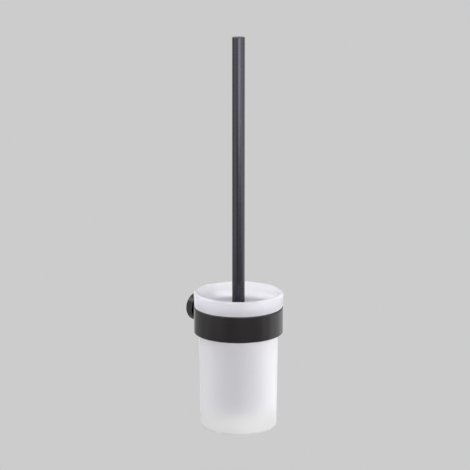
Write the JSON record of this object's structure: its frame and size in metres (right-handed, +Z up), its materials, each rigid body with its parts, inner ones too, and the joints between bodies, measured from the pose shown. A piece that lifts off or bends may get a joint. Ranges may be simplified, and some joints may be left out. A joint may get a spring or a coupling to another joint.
{
  "type": "toilet brush holder",
  "caption": "Wall-mounted toilet brush holder: a satin glass cup hangs by its rim in a black steel ring on a short arm and rosette, and a brush with a long round handle stands in the cup.",
  "frame": {"origin": "on the wall plane, at the centre of the wall plate and rosette", "axes": "+Z up along the handle, +Y into the wall, +X to the right seen from the room"},
  "size_m": [0.0904, 0.1122, 0.3964],
  "materials": {
    "black_steel": "matt black powder coat",
    "zinc_steel": "zinc plated",
    "fastener_steel": "bright zinc plated",
    "insert_brass": "turned",
    "liner_silicone": "milky white silicone",
    "washer_rubber": "matt black",
    "satin_glass": "satin etched",
    "head_plastic": "white, moulded",
    "bristle_nylon": "white nylon"
  },
  "bodies": {
    "holder": {"wall_plate": "zinc_steel", "rosette": "black_steel", "grub_screw": "fastener_steel", "arm": "black_steel", "rosette_bolt": "fastener_steel", "ring_bolt": "fastener_steel", "ring": "black_steel", "ring_liner": "liner_silicone"},
    "cup": {"glass_cup": "satin_glass"},
    "brush": {"handle_tube": "black_steel", "handle_cap": "black_steel", "handle_insert": "insert_brass", "seal_washer": "washer_rubber", "head_stud": "fastener_steel", "brush_core": "head_plastic", "bristle_band_1": "bristle_nylon", "bristle_band_2": "bristle_nylon", "bristle_band_3": "bristle_nylon", "bristle_band_4": "bristle_nylon", "bristle_tip": "bristle_nylon"}
  },
  "joints": [
    {"name": "cup_lift", "type": "slide", "parent": "holder", "child": "cup", "axis": [0, 0, 1], "range_m": [0, 0.14]},
    {"name": "brush_lift", "type": "slide", "parent": "cup", "child": "brush", "axis": [0, 0, 1], "range_m": [0, 0.14]}
  ]
}
